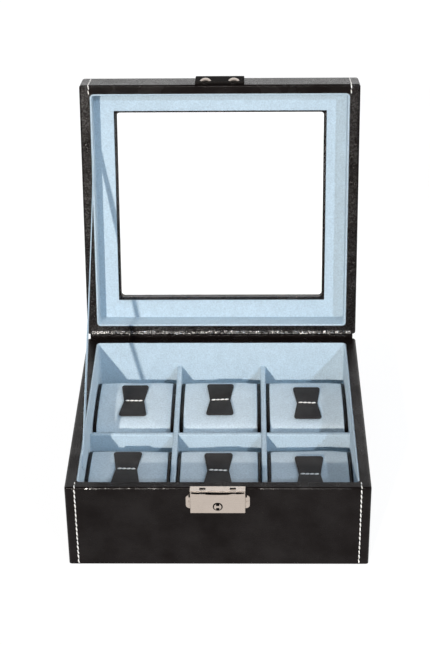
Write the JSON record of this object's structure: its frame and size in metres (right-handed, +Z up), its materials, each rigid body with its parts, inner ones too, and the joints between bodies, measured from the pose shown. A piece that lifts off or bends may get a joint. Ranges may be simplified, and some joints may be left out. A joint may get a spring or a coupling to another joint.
{
  "type": "watch box",
  "caption": "Leather-covered watch box with a glazed hinged lid, ribbon stay, front lock with hasp, and lift-out cushions in divided compartments.",
  "frame": {"origin": "centre of the underside, on the surface the box stands on", "axes": "+X to the right seen from the lock, +Y towards the hinge, +Z up"},
  "size_m": [0.2022, 0.2592, 0.2548],
  "materials": {
    "leather": "black grained, semi-gloss",
    "lining": "pale blue velour",
    "pad_fabric": "pale blue velour over stuffing",
    "tab_leather": "black, matt",
    "ribbon": "pale blue woven ribbon",
    "board": "fibreboard, covered",
    "felt": "black felt",
    "glass": "clear float glass",
    "nickel": "warm nickel plate, satin"
  },
  "bodies": {
    "base": {"base_floor_board": "board", "base_floor_lining": "lining", "base_front_board": "board", "base_leather_front": "leather", "base_leather_wrap": "leather", "base_left_board": "board", "base_lining_front": "lining", "base_lining_left": "lining", "base_lining_rear": "lining", "base_lining_right": "lining", "base_rear_board": "board", "base_right_board": "board", "base_underside": "felt", "divider_cross": "lining", "divider_left": "lining", "divider_right": "lining", "hinge_leather": "leather", "lid_ribbon": "ribbon", "lock_back_plate": "nickel", "lock_case": "nickel", "lock_pins": "nickel", "lock_spring": "nickel"},
    "lid": {"glass_pane": "glass", "hasp_plate": "nickel", "hasp_rivets": "nickel", "lid_front_board": "board", "lid_leather_front": "leather", "lid_leather_top": "leather", "lid_leather_wrap": "leather", "lid_left_board": "board", "lid_lining_front": "lining", "lid_lining_left": "lining", "lid_lining_panel": "lining", "lid_lining_rear": "lining", "lid_lining_right": "lining", "lid_rear_board": "board", "lid_right_board": "board", "lid_top_frame": "board"},
    "key_barrel": {"key_barrel": "nickel"},
    "lock_bolt": {"lock_bolt": "nickel"},
    "cushion_1": {"cushion_pad_1": "pad_fabric", "cushion_ends_1": "tab_leather", "cushion_tab_1": "tab_leather"},
    "cushion_2": {"cushion_pad_2": "pad_fabric", "cushion_ends_2": "tab_leather", "cushion_tab_2": "tab_leather"},
    "cushion_3": {"cushion_pad_3": "pad_fabric", "cushion_ends_3": "tab_leather", "cushion_tab_3": "tab_leather"},
    "cushion_4": {"cushion_pad_4": "pad_fabric", "cushion_ends_4": "tab_leather", "cushion_tab_4": "tab_leather"},
    "cushion_5": {"cushion_pad_5": "pad_fabric", "cushion_ends_5": "tab_leather", "cushion_tab_5": "tab_leather"},
    "cushion_6": {"cushion_pad_6": "pad_fabric", "cushion_ends_6": "tab_leather", "cushion_tab_6": "tab_leather"}
  },
  "joints": [
    {"name": "lid_hinge", "type": "hinge", "parent": "base", "child": "lid", "pos_m": [0, 0.09615, 0.06485], "axis": [-1, 0, 0], "range_deg": [-101.6, 0], "deforming": ["hinge_leather", "lid_ribbon"]},
    {"name": "key_turn", "type": "hinge", "parent": "base", "child": "key_barrel", "pos_m": [0, -0.0988, 0.05115], "axis": [0, -1, 0], "range_deg": [0, 90]},
    {"name": "bolt_slide", "type": "slide", "parent": "base", "child": "lock_bolt", "axis": [-1, 0, 0], "range_m": [0, 0.00191]},
    {"name": "cushion_1_lift", "type": "slide", "parent": "base", "child": "cushion_1", "axis": [0, 0, 1], "range_m": [0, 0.06]},
    {"name": "cushion_2_lift", "type": "slide", "parent": "base", "child": "cushion_2", "axis": [0, 0, 1], "range_m": [0, 0.06]},
    {"name": "cushion_3_lift", "type": "slide", "parent": "base", "child": "cushion_3", "axis": [0, 0, 1], "range_m": [0, 0.06]},
    {"name": "cushion_4_lift", "type": "slide", "parent": "base", "child": "cushion_4", "axis": [0, 0, 1], "range_m": [0, 0.06]},
    {"name": "cushion_5_lift", "type": "slide", "parent": "base", "child": "cushion_5", "axis": [0, 0, 1], "range_m": [0, 0.06]},
    {"name": "cushion_6_lift", "type": "slide", "parent": "base", "child": "cushion_6", "axis": [0, 0, 1], "range_m": [0, 0.06]}
  ],
  "couplings": [
    {"joint": "key_turn", "follows": "bolt_slide", "rad_per_m": 822.75}
  ]
}
